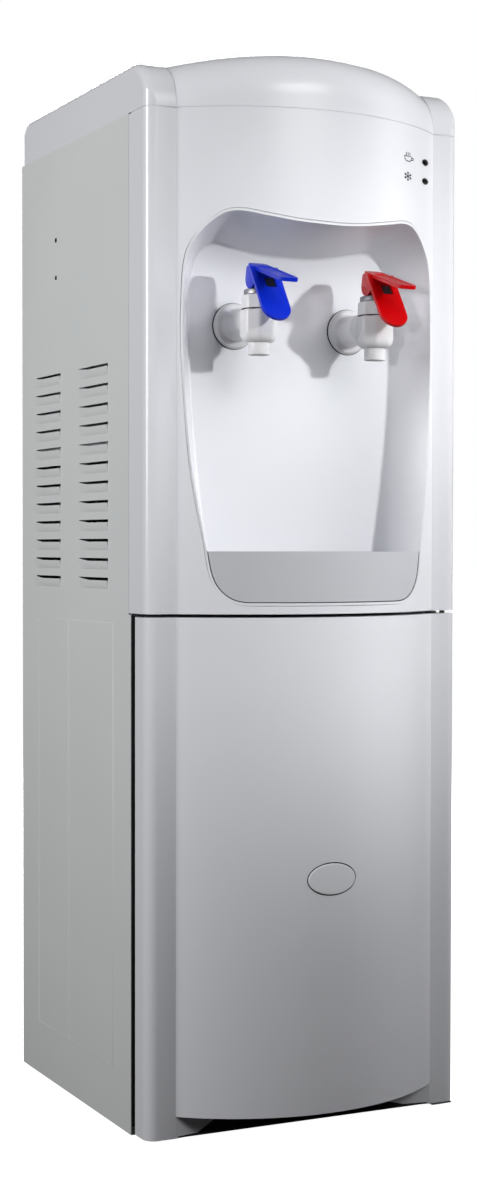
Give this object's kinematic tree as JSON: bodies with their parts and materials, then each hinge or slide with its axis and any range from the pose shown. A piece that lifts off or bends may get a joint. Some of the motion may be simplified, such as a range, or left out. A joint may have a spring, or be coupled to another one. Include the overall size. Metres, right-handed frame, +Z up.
{
  "type": "water dispenser",
  "caption": "Floor-standing hot and cold water dispenser with a bowed front, recessed taps, a drip tray, a bottle seat on top and a storage cupboard behind a door.",
  "frame": {"origin": "on the floor under the middle of the overall box", "axes": "+Z up, -Y towards the user in front, +X to the user's right"},
  "size_m": [0.3162, 0.4151, 0.957],
  "materials": {
    "white_abs": "semi-gloss moulded",
    "panel_paint": "satin powder coat",
    "galvanised": "satin",
    "liner_abs": "fine texture",
    "tray_abs": "fine texture",
    "tap_abs": "semi-gloss moulded",
    "chrome": "polished",
    "stainless": "brushed",
    "blue_abs": "gloss moulded",
    "red_abs": "gloss moulded",
    "rubber": "matt",
    "silicone": "matt",
    "foam": "beaded foam",
    "copper": "dull",
    "black_enamel": "semi-gloss enamel",
    "black_plastic": "fine texture",
    "lamp_lens": "gloss",
    "board": "matt",
    "magnet": "matt",
    "badge": "gloss",
    "red_rocker": "gloss",
    "green_rocker": "gloss"
  },
  "bodies": {
    "cabinet": {"base_pan": "galvanised", "levelling_feet": "rubber", "left_side_panel": "panel_paint", "right_side_panel": "panel_paint", "back_panel": "galvanised", "panel_screws": "stainless", "mid_deck": "galvanised", "tank_shelf": "galvanised", "storage_liner": "liner_abs", "storage_shelf": "liner_abs", "front_fascia": "white_abs", "tap_alcove": "white_abs", "indicator_lenses": "lamp_lens", "indicator_board": "board", "top_cover": "white_abs", "cold_tank": "stainless", "cold_tank_lid": "liner_abs", "tank_insulation": "foam", "evaporator_coil": "copper", "tank_baffle": "liner_abs", "hot_tank": "stainless", "hot_tank_jacket": "foam", "heater_element": "stainless", "thermostats": "black_plastic", "drain_outlet": "black_plastic", "water_hoses": "silicone", "refrigerant_lines": "copper", "filter_drier": "copper", "compressor": "black_enamel", "compressor_grommets": "rubber", "condenser": "black_enamel", "switch_housings": "black_plastic", "cord_bush": "black_plastic", "tap_bodies": "tap_abs", "tap_bonnets": "tap_abs", "tap_collars": "chrome", "tap_nuts": "tap_abs", "cold_spring": "stainless", "hot_spring": "stainless", "door_strike": "magnet", "hinge_pins": "stainless"},
    "door": {"door_panel": "white_abs", "door_liner": "liner_abs", "door_badge": "badge", "door_magnet": "magnet"},
    "drip_tray": {"drip_tray": "tray_abs"},
    "drip_grille": {"drip_grille": "tray_abs"},
    "cold_stem": {"cold_stem": "stainless", "cold_valve_seal": "silicone", "cold_lever_pin": "stainless"},
    "cold_lever": {"cold_lever": "blue_abs"},
    "hot_stem": {"hot_stem": "stainless", "hot_valve_seal": "silicone", "hot_lever_pin": "stainless"},
    "hot_lever": {"hot_lever": "red_abs"},
    "heating_rocker": {"heating_rocker": "red_rocker"},
    "cooling_rocker": {"cooling_rocker": "green_rocker"},
    "bottle_seat": {"bottle_seat": "liner_abs", "water_probe": "liner_abs"},
    "drain_cap": {"drain_cap": "black_plastic"}
  },
  "joints": [
    {"name": "door_hinge", "type": "hinge", "parent": "cabinet", "child": "door", "pos_m": [0.1495, -0.11405, 0.2343], "axis": [0, 0, 1], "range_deg": [0, 110]},
    {"name": "tray_slide", "type": "slide", "parent": "cabinet", "child": "drip_tray", "axis": [0, -1, 0], "range_m": [0, 0.11]},
    {"name": "grille_lift", "type": "slide", "parent": "drip_tray", "child": "drip_grille", "axis": [0, 0, 1], "range_m": [0, 0.06]},
    {"name": "bottle_seat_lift", "type": "slide", "parent": "cabinet", "child": "bottle_seat", "axis": [0, 0, 1], "range_m": [0, 0.12]},
    {"name": "drain_cap_pull", "type": "slide", "parent": "cabinet", "child": "drain_cap", "axis": [0, 1, 0], "range_m": [0, 0.03]},
    {"name": "heating_rocker_tilt", "type": "hinge", "parent": "cabinet", "child": "heating_rocker", "pos_m": [-0.095, 0.18545, 0.56], "axis": [1, 0, 0], "range_deg": [0, 14]},
    {"name": "cooling_rocker_tilt", "type": "hinge", "parent": "cabinet", "child": "cooling_rocker", "pos_m": [-0.06, 0.18545, 0.56], "axis": [1, 0, 0], "range_deg": [0, 14]},
    {"name": "cold_stem_lift", "type": "slide", "parent": "cabinet", "child": "cold_stem", "axis": [0, 0, 1], "range_m": [0, 0.0028], "deforming": ["cold_spring"]},
    {"name": "cold_lever_tilt", "type": "hinge", "parent": "cold_stem", "child": "cold_lever", "pos_m": [-0.058, -0.14655, 0.758], "axis": [1, 0, 0], "range_deg": [0, 16], "stiffness_Nm_per_rad": 0.12, "springref_deg": -17.19},
    {"name": "hot_stem_lift", "type": "slide", "parent": "cabinet", "child": "hot_stem", "axis": [0, 0, 1], "range_m": [0, 0.0028], "deforming": ["hot_spring"]},
    {"name": "hot_lever_tilt", "type": "hinge", "parent": "hot_stem", "child": "hot_lever", "pos_m": [0.058, -0.14655, 0.758], "axis": [1, 0, 0], "range_deg": [0, 16], "stiffness_Nm_per_rad": 0.12, "springref_deg": -17.19}
  ],
  "couplings": [
    {"joint": "cold_stem_lift", "follows": "cold_lever_tilt", "m_per_rad": 0.01},
    {"joint": "hot_stem_lift", "follows": "hot_lever_tilt", "m_per_rad": 0.01}
  ]
}
